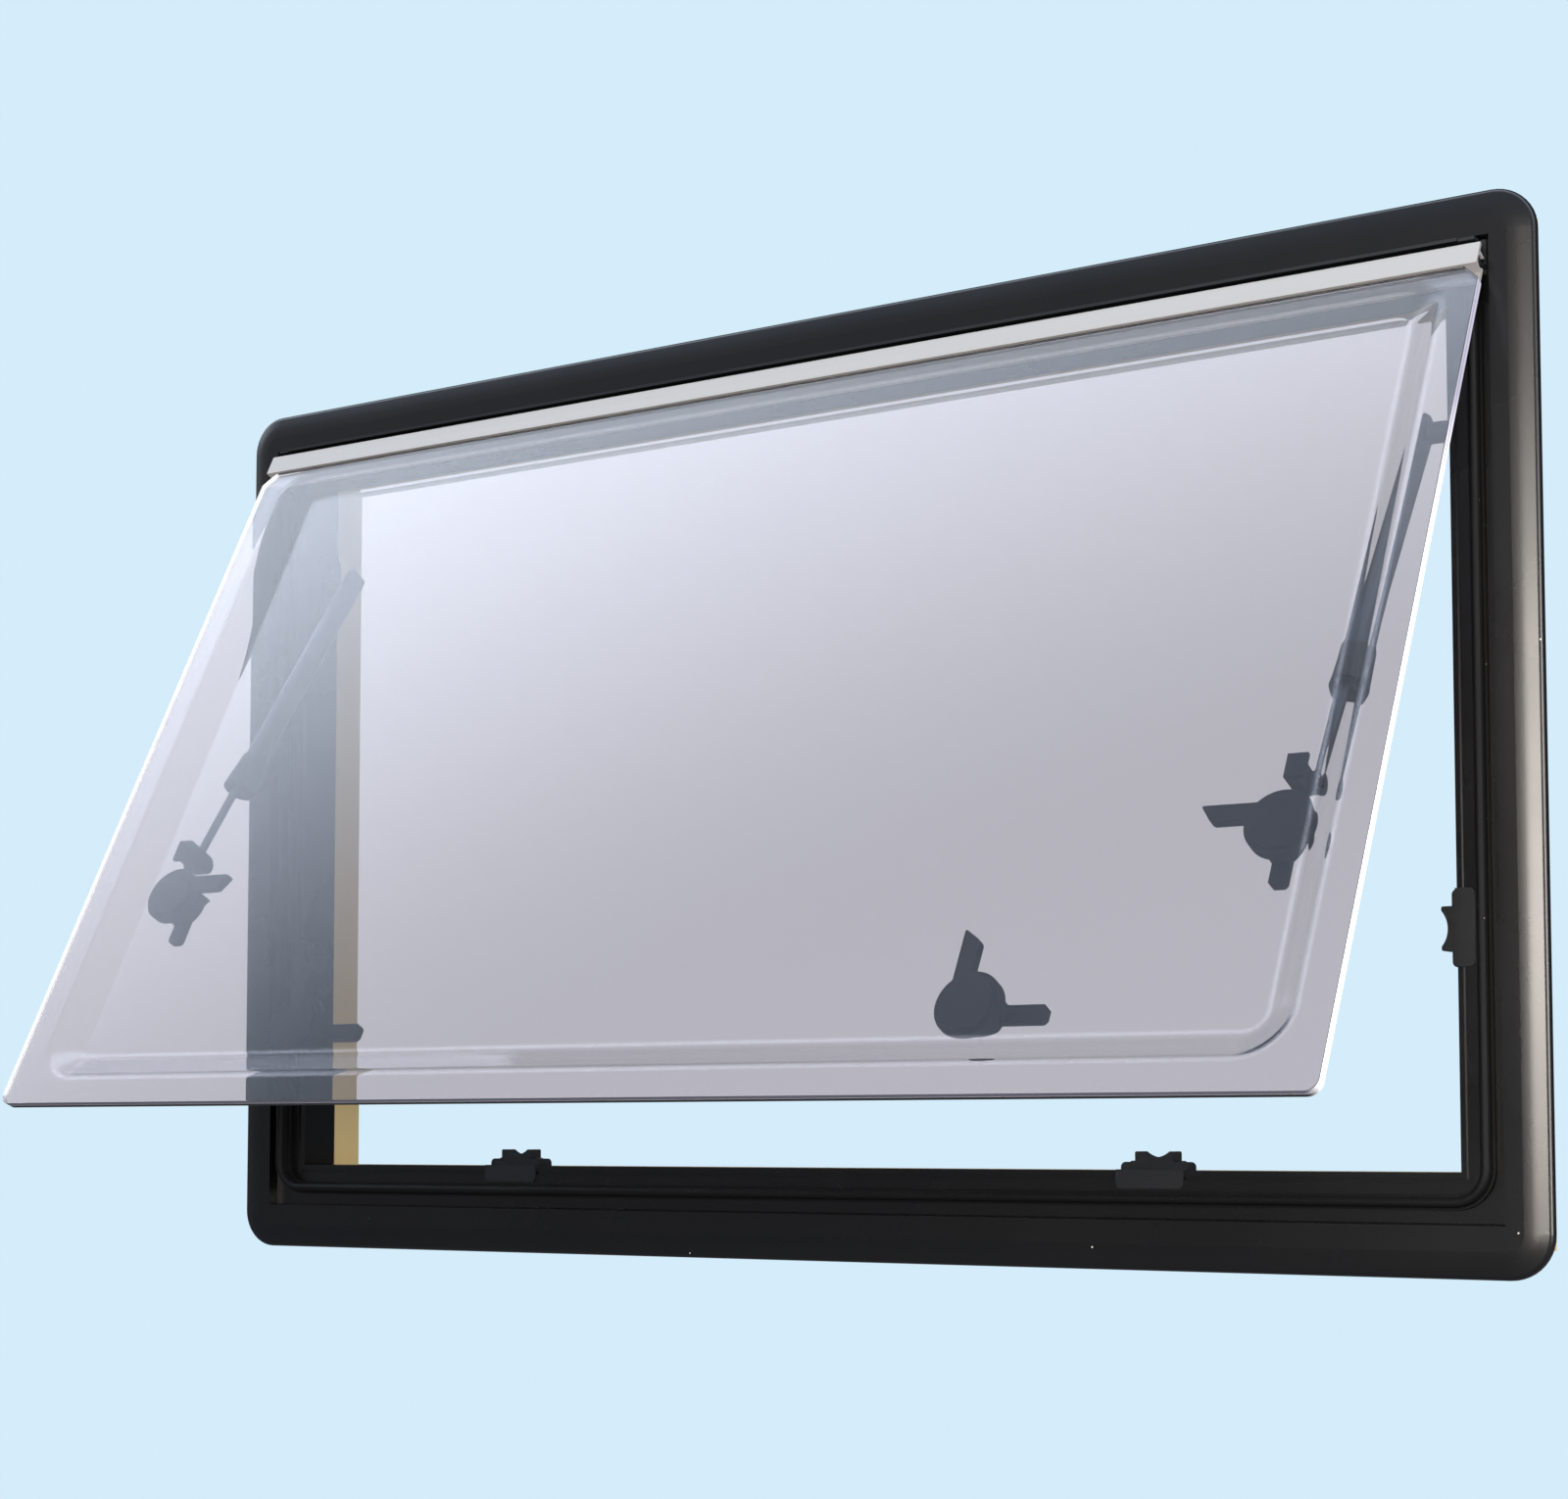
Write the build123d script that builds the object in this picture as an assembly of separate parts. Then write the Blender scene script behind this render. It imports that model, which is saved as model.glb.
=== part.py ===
from build123d import *
import math
import os

# Top-hung acrylic caravan window, sash propped open on two telescopic stays.
# Millimetres. X runs along the wall, Y goes into the wall, Z is up.
# The origin is on the flange's wall face, in the middle of its lower strip.

# Outer frame
frame_width = 932.0
frame_height = 582.0
corner_radius = 24.5
wall_lap = 16.0
wall_thickness = 26.0
cutout_play = 1.5
edge_lip = 1.5
roll_width = 15.0
roll_height = 5.5
roll_edge = 3.5
face_overlap = 2.0
lip_inset = 25.0
lip_sill_inset = 28.5
lip_draft = 1.0
floor_thickness = 3.0
spigot_wall = 2.5
spigot_depth = 24.0
reveal_depth = 30.0
side_member = 51.0
sill_member = 56.0
head_member = 52.0
groove_width = 2.5
groove_depth = 1.4
groove_margin = 3.0

# Rubber seal on the rebate floor
seal_width = 8.0
seal_base = 3.0
seal_side_inset = 31.0
seal_sill_inset = 36.5
seal_corner_radius = 18.0
seal_gap = 0.8
seal_top_gap = 4.0

# Beige clamping frame on the room side
inner_depth = 28.0
inner_wall = 3.0
inner_lap = 19.0
inner_back = 22.0
inner_round = 5.0

# Hinge
pivot_drop = 42.0
pivot_stand = 14.0
bead_radius = 3.2
bead_play = 0.35
neck_thickness = 2.0
neck_play = 0.6
rail_end_play = 2.0
rail_base = 2.5
rail_base_down = 4.0
hood_rise = 13.5
hood_thickness = 1.8
hood_reach = 14.0
hood_cutback = 12.0
hood_play = 0.5
end_thickness = 9.0

# Sash
rest_angle = 27.4
full_angle = 40.0
pane_side_play = 25.5
pane_sill_play = 38.6
sheet = 3.0
pane_face_out = 2.9
pane_top_down = 4.4
corner_clip = 9.0
corner_round = 7.0
rim_side = 19.5
rim_top = 9.5
bevel_run = 19.0
bevel_run_top = 13.0
bevel_depth = 11.5
bevel_corner = 30.0
raised_corner = 16.0
mould_round = 3.0
socket_front = 4.7
socket_up = 5.4
fin_up = 10.0
fin_thickness = 2.0
leg_thickness = 2.0
leg_length = 9.0
sash_rail_setback = 1.5

# Latches and catches
latch_side_setback = 31.0
latch_below_stay = 32.0
latch_sill_setback = 44.0
latch_sill_place = 232.0
base_radius = 16.0
base_height = 2.2
turn_play = 0.3
plate_radius = 19.0
plate_thickness = 5.5
handle_length = 45.0
handle_slant = 7.0
handle_width = 10.0
handle_shift = 7.5
handle_chamfer = 1.2
hub_radius = 12.0
web_run = 21.0
web_bend = 11.0
web_play = 5.0
finger_width = 10.0
finger_shift = 2.0
finger_thickness = 4.5
finger_chamfer = 2.0
finger_side_gap = 3.0
finger_sill_gap = 6.0
finger_play = 1.0
catch_length = 42.0
catch_base = 5.0
catch_height = 11.0
catch_crown = 24.0
catch_depth = 11.0
catch_gap = 5.0
catch_round = 3.0
horn_round = 1.0
scallop_radius = 15.0
scallop_dip = 3.5
lap_thickness = 1.0
lap_width = 10.0
lap_skin = 0.8
side_catch_shift = 12.5

# Telescopic stays
stay_setback = 22.0
stay_frame_drop = 82.0
stay_frame_depth = 20.0
stay_sash_drop = 309.0
stay_sash_stand = 18.0
stay_bias = 0.5
tube_width = 9.0
tube_depth = 15.5
tube_wall = 1.2
tube_length = 188.0
tube_overhang = 9.0
rod_radius = 2.7
rod_length = 130.0
eye_radius = 6.5
eye_thickness = 6.0
pin_radius = 2.6
pin_play = 0.3
bracket_height = 45.0
bracket_width = 20.0
bracket_plate = 3.0
bracket_chamfer = 3.0
boss_radius = 6.0
foot_length = 14.0
foot_width = 11.0
foot_plate = 2.5
lug_thickness = 7.0
knob_length = 26.0
knob_radius = 10.5
knob_top_radius = 8.6
knob_play = 0.15

# Places worked out from the sizes above
bottom_z = -wall_lap / 2
top_z = bottom_z + frame_height
middle_z = (bottom_z + top_z) / 2
open_half = frame_width / 2 - side_member
sill_z = bottom_z + sill_member
head_z = top_z - head_member
pivot_y = -pivot_stand
pivot_z = top_z - pivot_drop
pane_width = frame_width - 2 * pane_side_play
pane_height = pivot_z - pane_top_down - bottom_z - pane_sill_play
rail_half = frame_width / 2 - lip_inset - lip_draft - rail_end_play
rim_back_out = pane_face_out - 2 * sheet
panel_out = rim_back_out - bevel_depth
panel_y = pivot_y - panel_out
rim_back_y = pivot_y - rim_back_out
seal_crest_y = rim_back_y + seal_gap
catch_y = panel_y + catch_gap
finger_y = catch_y + catch_depth + finger_play
web_reach = latch_side_setback - catch_height - web_play
stay_x = open_half - stay_setback
latch_side_z = pivot_z - stay_sash_drop - latch_below_stay
face_y = -edge_lip - roll_height
lip_head_inset = pivot_drop - hood_rise - hood_thickness - hood_play - lip_draft
hinge_axis = Axis((0, pivot_y, pivot_z), (-1, 0, 0))


def prism(sketch, y0, y1):
    """Carry a sketch drawn in X and Z through the wall from depth y0 to y1."""
    plane = Plane((0, y0, 0), x_dir=(1, 0, 0), z_dir=(0, -1, 0))
    return extrude(plane * sketch, amount=y0 - y1, dir=plane.z_dir)


def along_x(sketch, x0, x1):
    """Carry a section drawn in Y and Z along the wall from x0 to x1."""
    plane = Plane((x0, 0, 0), x_dir=(0, 1, 0), z_dir=(1, 0, 0))
    return extrude(plane * sketch, amount=x1 - x0, dir=plane.z_dir)


def inset_rectangle(side, sill, head):
    """The frame's outline drawn in by a distance at its sides, sill and head."""
    low = bottom_z + sill
    high = top_z - head
    return Pos(0, (low + high) / 2) * Rectangle(frame_width - 2 * side, high - low)


def opened(piece):
    """Swing a sash piece from closed to the angle at which it rests."""
    return piece.rotate(hinge_axis, rest_angle)


def ring(outer, inner, y0, y1):
    return prism(outer - inner, y0, y1)


def turning_path(start, heading, runs, radius):
    """Straight runs in the wall plane with a quarter turn to the left between each two."""
    point = Vector(*start)
    direction = Vector(*heading)
    path = []
    for run in runs:
        if path:
            turn = JernArc(point, direction, radius, 90)
            path.append(turn)
            point = turn @ 1
            direction = turn % 1
        straight = Line(point, point + direction * run)
        path.append(straight)
        point = straight @ 1
    return Plane.XZ * Wire(path)


def roll_arc(centre, radius, start, end):
    """Arc of the flange's section about a centre at an inset and a height off the wall, in degrees."""
    points = []
    for angle in (start, (start + end) / 2, end):
        turn = math.radians(angle)
        inset = centre[0] + radius * math.cos(turn)
        points.append((inset, -edge_lip - centre[1] - radius * math.sin(turn)))
    return ThreePointArc(*points)


def flange():
    """Low flange swept round the frame: small edge round, broad crown tangent to it, start of the flat face."""
    across = roll_width - roll_edge
    crown_radius = (across**2 + roll_height**2 - roll_edge**2) / (2 * (roll_height - roll_edge))
    meet = 180 - math.degrees(math.atan2(crown_radius - roll_height, across))
    far = roll_width + face_overlap
    outline = [
        Line((0, 0), (0, -edge_lip)),
        roll_arc((roll_edge, 0), roll_edge, 180, meet),
        roll_arc((roll_width, roll_height - crown_radius), crown_radius, meet, 90),
        Line((roll_width, face_y), (far, face_y)),
        Line((far, face_y), (far, 0)),
        Line((far, 0), (0, 0)),
    ]
    section_plane = Plane((0, 0, bottom_z), x_dir=(0, 0, 1), z_dir=(-1, 0, 0))
    section = section_plane * make_face(Wire(outline))
    side_run = frame_height - 2 * corner_radius
    head_run = frame_width - 2 * corner_radius
    runs = [head_run / 2, side_run, head_run, side_run, head_run / 2]
    path = turning_path((0, bottom_z), (1, 0), runs, corner_radius)
    return sweep(section, path=path)


def outer_frame():
    """Flange with a flat face and lip, rebate floor, spigot through the wall and black reveal."""
    body = flange()
    opening = inset_rectangle(side_member, sill_member, head_member)
    spigot_inset = wall_lap + cutout_play
    seat = Pos(0, middle_z) * RectangleRounded(frame_width - 2 * roll_width, frame_height - 2 * roll_width,
                                               corner_radius - roll_width)
    mouth = inset_rectangle(lip_inset, lip_sill_inset, lip_head_inset)
    foot = inset_rectangle(lip_inset + lip_draft, lip_sill_inset + lip_draft, lip_head_inset + lip_draft)
    front = Plane((0, face_y, 0), x_dir=(1, 0, 0), z_dir=(0, -1, 0))
    back = Plane((0, 0, 0), x_dir=(1, 0, 0), z_dir=(0, -1, 0))
    pocket = loft([front * mouth, back * foot])
    body += prism(seat, face_y, 0) - pocket
    spigot = inset_rectangle(spigot_inset, spigot_inset, spigot_inset)
    inside = spigot_inset + spigot_wall
    body += ring(spigot, opening, 0, floor_thickness)
    body += ring(spigot, inset_rectangle(inside, inside, inside), 0, spigot_depth)
    reveal = inset_rectangle(side_member - spigot_wall, sill_member - spigot_wall,
                             head_member - spigot_wall)
    body += ring(reveal, opening, 0, reveal_depth)
    near = groove_margin
    far = groove_margin + groove_width
    groove = ring(
        inset_rectangle(side_member - far, sill_member - far, head_member - far),
        inset_rectangle(side_member - near, sill_member - near, head_member - near),
        0, groove_depth)
    return body - groove


def pane_seal():
    """Bulb seal up both jambs and along the sill, swept as one length."""
    half = frame_width / 2 - seal_side_inset - seal_width / 2
    low = bottom_z + seal_sill_inset + seal_width / 2
    high = pivot_z - pane_top_down - leg_length - seal_top_gap
    side_run = high - low - seal_corner_radius
    runs = [side_run, 2 * (half - seal_corner_radius), side_run]
    path = turning_path((-half, high), (0, -1), runs, seal_corner_radius)
    bulb = seal_width * 0.32
    crest = seal_crest_y
    outline = [
        Line((-seal_width / 2, 0), (-seal_width / 2, -seal_base)),
        Line((-seal_width / 2, -seal_base), (-bulb, -seal_base)),
        Line((-bulb, -seal_base), (-bulb, crest + bulb)),
        ThreePointArc((-bulb, crest + bulb), (0, crest), (bulb, crest + bulb)),
        Line((bulb, crest + bulb), (bulb, -seal_base)),
        Line((bulb, -seal_base), (seal_width / 2, -seal_base)),
        Line((seal_width / 2, -seal_base), (seal_width / 2, 0)),
        Line((seal_width / 2, 0), (-seal_width / 2, 0)),
    ]
    plane = Plane((-half, 0, high), x_dir=(1, 0, 0), z_dir=(0, 0, 1))
    section = plane * make_face(Wire(outline))
    return sweep(section, path=path)


def inner_frame():
    """Moulded clamping frame: wall flange, riser, room face and collar of the reveal."""
    opening = inset_rectangle(side_member, sill_member, head_member)
    rim = side_member - inner_lap - inner_back
    outside = inset_rectangle(rim, sill_member - inner_lap - inner_back,
                              head_member - inner_lap - inner_back)
    box_side = side_member - inner_back
    box = inset_rectangle(box_side, sill_member - inner_back, head_member - inner_back)
    hollow = inset_rectangle(box_side + inner_wall, sill_member - inner_back + inner_wall,
                             head_member - inner_back + inner_wall)
    collar = inset_rectangle(side_member - inner_wall, sill_member - inner_wall,
                             head_member - inner_wall)
    room_y = reveal_depth + inner_depth
    shell = ring(box, opening, reveal_depth, room_y)
    room_edges = shell.edges().group_by(Axis.Y)[-1]
    shell = fillet(room_edges, radius=inner_round)
    shell -= ring(hollow, collar, reveal_depth, room_y - inner_wall)
    shell += ring(outside, hollow, wall_thickness, wall_thickness + inner_wall)
    shell += ring(box, hollow, wall_thickness, reveal_depth + inner_wall)
    return shell


def hinge_rail():
    """Frame half of the hinge: base on the rebate floor, neck with a round bead, rain hood."""
    base_low = pivot_z - rail_base_down
    base_high = pivot_z + hood_rise + hood_thickness
    section = Pos(-rail_base / 2, (base_low + base_high) / 2) * Rectangle(rail_base, base_high - base_low)
    section += Pos(pivot_y / 2, pivot_z) * Rectangle(pivot_stand, neck_thickness)
    section += Pos(pivot_y, pivot_z) * Circle(bead_radius)
    rail = along_x(section, -rail_half, rail_half)
    hood_half = rail_half - hood_cutback
    low = pivot_z + hood_rise
    hood = Pos(-hood_reach / 2, low + hood_thickness / 2) * Rectangle(hood_reach, hood_thickness)
    return rail + along_x(hood, -hood_half, hood_half)


def hinge_end(side):
    """Black plug that closes the hood at one end of the hinge rail."""
    low = pivot_z + hood_rise
    depth = hood_reach - 2.0
    section = Pos(-rail_base - (depth - rail_base) / 2, low + hood_thickness / 2)
    section *= Rectangle(depth - rail_base, hood_thickness)
    x0 = rail_half - hood_cutback
    plug = along_x(section, x0, x0 + end_thickness)
    return plug if side > 0 else plug.mirror(Plane.YZ)


def sash_rail():
    """Sash half of the hinge: socket round the bead, open behind, a tall face and a leg on the pane."""
    bore = bead_radius + bead_play
    back = leg_thickness - rim_back_out
    block = Pos((back - socket_front) / 2, (socket_up - pane_top_down) / 2)
    block *= Rectangle(back + socket_front, socket_up + pane_top_down)
    leg = Pos(back - leg_thickness / 2, -pane_top_down - leg_length / 2)
    leg *= Rectangle(leg_thickness, leg_length)
    fin = Pos(fin_thickness / 2 - socket_front, fin_up / 2) * Rectangle(fin_thickness, fin_up)
    slack = neck_thickness / 2 + neck_play
    swing = math.radians(full_angle)
    reach = 4 * bore
    tip = (slack * -math.sin(swing) + reach * math.cos(swing),
           slack * math.cos(swing) + reach * math.sin(swing))
    root = (slack * -math.sin(swing), slack * math.cos(swing))
    mouth = Polygon((0, -slack), (reach, -slack), (reach, tip[1]), tip, root, align=None)
    section = block + leg + fin - Circle(bore) - mouth
    half = pane_width / 2 - sash_rail_setback
    return opened(along_x(Pos(pivot_y, pivot_z) * section, -half, half))


def pane_outline():
    """Outline of the acrylic sheets, clipped at the top corners and round at the bottom."""
    half = pane_width / 2
    high = pivot_z - pane_top_down
    low = high - pane_height
    sheet_face = Pos(0, (low + high) / 2) * Rectangle(pane_width, pane_height)
    top = sheet_face.vertices().group_by(Axis.Y)[-1]
    sheet_face = chamfer(top, length=corner_clip)
    lower = sheet_face.vertices().group_by(Axis.Y)[0]
    return fillet(lower, radius=corner_round), half, low, high


def outer_pane():
    face, half, low, high = pane_outline()
    front_y = pivot_y - pane_face_out
    return opened(prism(face, front_y, front_y + sheet))


def raised_form(rim_y, raised_y, shrink):
    """Bevelled field of the inner sheet, from the rim's plane to the raised plane."""
    face, half, low, high = pane_outline()
    rim_low = low + rim_side + shrink
    rim_high = high - rim_top - shrink
    rim_half = half - rim_side - shrink
    field_low = rim_low + bevel_run
    field_high = rim_high - bevel_run_top
    field_half = rim_half - bevel_run
    rim_plane = Plane((0, rim_y, (rim_low + rim_high) / 2), x_dir=(1, 0, 0), z_dir=(0, -1, 0))
    field_plane = Plane((0, raised_y, (field_low + field_high) / 2), x_dir=(1, 0, 0), z_dir=(0, -1, 0))
    rim_field = rim_plane * RectangleRounded(2 * rim_half, rim_high - rim_low, bevel_corner)
    field = field_plane * RectangleRounded(2 * field_half, field_high - field_low, raised_corner)
    return loft([rim_field, field])


def inner_pane():
    """Thermoformed inner sheet: flat rim bonded to the outer sheet, bevelled raised field."""
    face, half, low, high = pane_outline()
    rim_front = pivot_y - pane_face_out + sheet
    rim = prism(face, rim_front, rim_back_y)
    outside = raised_form(rim_back_y, panel_y, 0)
    outside = fillet(outside.faces().sort_by(Axis.Y)[-1].edges(), radius=mould_round)
    hollow = raised_form(rim_front, panel_y - sheet, sheet / 2)
    return opened(rim + outside - hollow)


def catch_block():
    """Outline of a catch on a bed at height 0: long foot, raised middle, scallop between two horns."""
    foot = Pos(0, catch_base / 2) * Rectangle(catch_length, catch_base)
    foot = fillet(foot.vertices().group_by(Axis.Y)[-1], radius=catch_round)
    crown = Pos(0, catch_height / 2) * Rectangle(catch_crown, catch_height)
    crown = fillet(crown.vertices().group_by(Axis.Y)[-1], radius=horn_round)
    dip = Pos(0, catch_height + scallop_radius - scallop_dip) * Circle(scallop_radius)
    return foot + crown - dip


def catch(place):
    """Catch on the edge of the opening, with a thin skin round the edge and a lap on the front."""
    lap = Pos(0, (lap_skin - lap_width) / 2) * Rectangle(catch_length, lap_width + lap_skin)
    lap = fillet(lap.vertices().group_by(Axis.Y)[0], radius=catch_round)
    skin = Pos(0, lap_skin / 2) * Rectangle(catch_length, lap_skin)
    body = prism(place * lap, -lap_thickness, 0)
    body += prism(place * skin, -lap_thickness, catch_y)
    return body + prism(place * catch_block(), catch_y, catch_y + catch_depth)


def catches():
    """The four catches, on both jambs and twice on the sill."""
    side_z = latch_side_z - side_catch_shift
    places = {
        "catch_right": Pos(open_half, side_z) * Rot(0, 0, 90),
        "catch_left": Pos(-open_half, side_z) * Rot(0, 0, -90),
        "catch_bottom_right": Pos(latch_sill_place, sill_z),
        "catch_bottom_left": Pos(-latch_sill_place, sill_z),
    }
    return {name: catch(place) for name, place in places.items()}


def latch_places():
    """Pivot, handle direction, hand and finger reach of each latch, closed, seen from outside."""
    side_x = open_half - latch_side_setback
    side_reach = latch_side_setback - finger_side_gap
    sill = sill_z + latch_sill_setback
    sill_reach = latch_sill_setback - finger_sill_gap
    return {
        "right": (side_x, latch_side_z, 180, 1, side_reach),
        "left": (-side_x, latch_side_z, 0, -1, side_reach),
        "bottom_right": (latch_sill_place, sill, 90, -1, sill_reach),
        "bottom_left": (-latch_sill_place, sill, 90, -1, sill_reach),
    }


def latch_base(x, z):
    """Round base bonded to the pane under the lever."""
    return opened(prism(Pos(x, z) * Circle(base_radius), panel_y, panel_y + base_height))


def handed(points, hand):
    """Polygon of a latch, mirrored across its handle for hand -1."""
    mirrored = [(u, hand * v) for u, v in points]
    return Polygon(*mirrored[::hand], align=None)


def latch_lever(x, z, bearing, hand, reach):
    """Turning lever: round plate with a slant-ended handle, webbed hub, finger behind the catch."""
    place = Pos(x, z) * Rot(0, 0, bearing)
    plate_y = panel_y + base_height + turn_play
    web_y = plate_y + plate_thickness
    outer = -handle_shift - handle_width / 2
    inner = handle_width / 2 - handle_shift
    handle = handed([(0, outer), (handle_length, outer), (handle_length - handle_slant, inner),
                     (0, inner)], hand)
    handle = chamfer(handle.vertices().sort_by(Axis.X)[-2:], length=handle_chamfer)
    body = prism(place * (Circle(plate_radius) + handle), plate_y, web_y)
    left = finger_shift - finger_width / 2
    right = finger_shift + finger_width / 2
    web = handed([(0, 0), (web_run, inner), (right, web_bend), (right, web_reach), (left, web_reach)], hand)
    body += prism(place * (Circle(hub_radius) + web), web_y, finger_y)
    finger = Rectangle(finger_width, reach)
    finger = chamfer(finger.vertices(), length=finger_chamfer)
    finger = Pos(finger_shift, hand * reach / 2) * finger
    body += prism(place * (Circle(hub_radius) + finger), finger_y, finger_y + finger_thickness)
    return opened(body)


def stay_line():
    """Frame pivot, sash pivot at rest and the angle of the stay from straight down."""
    frame_pivot = Vector(0, stay_frame_depth, pivot_z - stay_frame_drop)
    closed = Vector(0, panel_y + stay_sash_stand, pivot_z - stay_sash_drop)
    sash_pivot = Vertex(closed.X, closed.Y, closed.Z).rotate(hinge_axis, rest_angle).center()
    run = sash_pivot - frame_pivot
    angle = math.degrees(math.atan2(-run.Y, -run.Z))
    return frame_pivot, sash_pivot, angle - stay_bias


def stay_bracket(side):
    """Plate on the jamb with a boss and the pin that the stay hangs on."""
    pivot, _, _ = stay_line()
    plate = Rectangle(bracket_width, bracket_height)
    plate = chamfer(plate.vertices(), length=bracket_chamfer)
    body = along_x(Pos(pivot.Y, pivot.Z) * plate, open_half - bracket_plate, open_half)
    boss_end = stay_x + tube_width / 2 + pin_play
    body += along_x(Pos(pivot.Y, pivot.Z) * Circle(boss_radius), boss_end, open_half)
    pin_end = stay_x - tube_width / 2 - 1.0
    body += along_x(Pos(pivot.Y, pivot.Z) * Circle(pin_radius), pin_end, open_half)
    return body if side > 0 else body.mirror(Plane.YZ)


def stay_tube(side):
    """Flat-oval tube hung on the frame pin, open at its lower end."""
    pivot, _, angle = stay_line()
    low = pivot.Z - tube_length
    plane = Plane((stay_x, pivot.Y, low), x_dir=(1, 0, 0), z_dir=(0, 0, 1))
    outside = RectangleRounded(tube_width, tube_depth, tube_width * 0.45)
    bore_width = tube_width - 2 * tube_wall
    hollow = RectangleRounded(bore_width, tube_depth - 2 * tube_wall, bore_width * 0.45)
    body = extrude(plane * (outside - hollow), amount=tube_length + tube_overhang)
    hole = along_x(Pos(pivot.Y, pivot.Z) * Circle(pin_radius + pin_play),
                   stay_x - tube_width, stay_x + tube_width)
    body = (body - hole).rotate(Axis(pivot, (-1, 0, 0)), angle)
    return body if side > 0 else body.mirror(Plane.YZ)


def stay_knob(side):
    """Flared clamp sleeve on the tube's lower end."""
    pivot, _, angle = stay_line()
    low = pivot.Z - tube_length
    plane = Plane((stay_x, pivot.Y, low), x_dir=(1, 0, 0), z_dir=(0, 0, 1))
    seat = (Align.CENTER, Align.CENTER, Align.MIN)
    body = plane * Cone(knob_radius, knob_top_radius, knob_length, align=seat)
    bore_width = tube_width + 2 * knob_play
    hollow = RectangleRounded(bore_width, tube_depth + 2 * knob_play, bore_width * 0.45)
    body -= extrude(plane * hollow, amount=knob_length)
    body = body.rotate(Axis(pivot, (-1, 0, 0)), angle)
    return body if side > 0 else body.mirror(Plane.YZ)


def stay_rod(side):
    """Thin rod with a flat eye, hung on the sash pin and sliding in the tube."""
    _, pivot, angle = stay_line()
    eye = Pos(pivot.Y, pivot.Z) * (Circle(eye_radius) - Circle(pin_radius + pin_play))
    body = along_x(eye, stay_x - eye_thickness / 2, stay_x + eye_thickness / 2)
    start = pivot.Z + eye_radius - 1.0
    plane = Plane((stay_x, pivot.Y, start), x_dir=(1, 0, 0), z_dir=(0, 0, 1))
    body += extrude(plane * Circle(rod_radius), amount=rod_length - eye_radius + 1.0)
    body = body.rotate(Axis(pivot, (-1, 0, 0)), angle)
    return body if side > 0 else body.mirror(Plane.YZ)


def stay_foot(side):
    """Foot on the pane's inner face with a lug and the pin for the rod's eye."""
    z = pivot_z - stay_sash_drop
    y = panel_y + stay_sash_stand
    inner = stay_x - eye_thickness / 2 - 1.0
    plate = Pos(inner + foot_width / 2 - lug_thickness, z) * Rectangle(foot_width, foot_length)
    body = prism(plate, panel_y, panel_y + foot_plate)
    lug = Polygon((panel_y, z - foot_length / 2), (y, z - eye_radius), (y, z + eye_radius),
                  (panel_y, z + foot_length / 2), align=None)
    lug += Pos(y, z) * Circle(eye_radius)
    body += along_x(lug, inner - lug_thickness, inner)
    body += along_x(Pos(y, z) * Circle(pin_radius), inner, stay_x + eye_thickness / 2 + 1.0)
    body = opened(body)
    return body if side > 0 else body.mirror(Plane.YZ)


def all_pieces():
    pieces = {
        "outer_frame": outer_frame(),
        "pane_seal": pane_seal(),
        "inner_frame": inner_frame(),
        "hinge_rail": hinge_rail(),
        "sash_rail": sash_rail(),
        "outer_pane": outer_pane(),
        "inner_pane": inner_pane(),
    }
    pieces.update(catches())
    for name, (x, z, bearing, hand, setback) in latch_places().items():
        pieces["latch_base_" + name] = latch_base(x, z)
        pieces["latch_lever_" + name] = latch_lever(x, z, bearing, hand, setback)
    for name, side in (("left", -1), ("right", 1)):
        pieces["hinge_end_" + name] = hinge_end(side)
        pieces["stay_bracket_" + name] = stay_bracket(side)
        pieces["stay_tube_" + name] = stay_tube(side)
        pieces["stay_knob_" + name] = stay_knob(side)
        pieces["stay_rod_" + name] = stay_rod(side)
        pieces["stay_foot_" + name] = stay_foot(side)
    return pieces


os.makedirs("parts", exist_ok=True)
for name, piece in all_pieces().items():
    export_step(piece, "parts/" + name + ".step")
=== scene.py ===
import math
import bpy
import numpy as np
from mathutils import Euler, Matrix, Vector


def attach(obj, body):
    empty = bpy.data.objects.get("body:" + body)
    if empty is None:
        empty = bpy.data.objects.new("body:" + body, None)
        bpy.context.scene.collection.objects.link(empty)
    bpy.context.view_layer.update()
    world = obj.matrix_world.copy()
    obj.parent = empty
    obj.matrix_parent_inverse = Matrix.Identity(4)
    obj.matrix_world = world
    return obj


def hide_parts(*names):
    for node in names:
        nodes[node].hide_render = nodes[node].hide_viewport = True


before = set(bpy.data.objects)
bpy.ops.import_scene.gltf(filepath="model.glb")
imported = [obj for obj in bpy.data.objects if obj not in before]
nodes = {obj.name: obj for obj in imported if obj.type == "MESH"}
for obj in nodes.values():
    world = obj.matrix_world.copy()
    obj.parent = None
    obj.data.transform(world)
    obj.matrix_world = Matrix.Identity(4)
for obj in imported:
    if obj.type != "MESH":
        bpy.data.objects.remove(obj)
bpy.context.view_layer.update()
scene = bpy.context.scene
scene.view_settings.view_transform = "Standard"
print("frame loaded", len(nodes))

# hinge pivot and resting angle of the sash, in metres and radians
hinge = dict(y=-0.014, z=0.532, angle=math.radians(27.4))


# colours are given as seen on a screen, 0 to 255, and turned to linear light
def seen(r, g, b):
    c = np.array([r, g, b]) / 255
    lin = np.where(c <= 0.04045, c / 12.92, ((c + 0.055) / 1.055) ** 2.4)
    return (*lin.tolist(), 1.0)


# a point x along the wall, o outward and d down from the hinge with the sash closed,
# swung about the hinge by the resting angle
def swung(x, o, d):
    c, s = math.cos(hinge["angle"]), math.sin(hinge["angle"])
    y = -o * c - d * s
    z = -d * c + o * s
    return np.stack([x, y + hinge["y"], z + hinge["z"]], -1)


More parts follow.
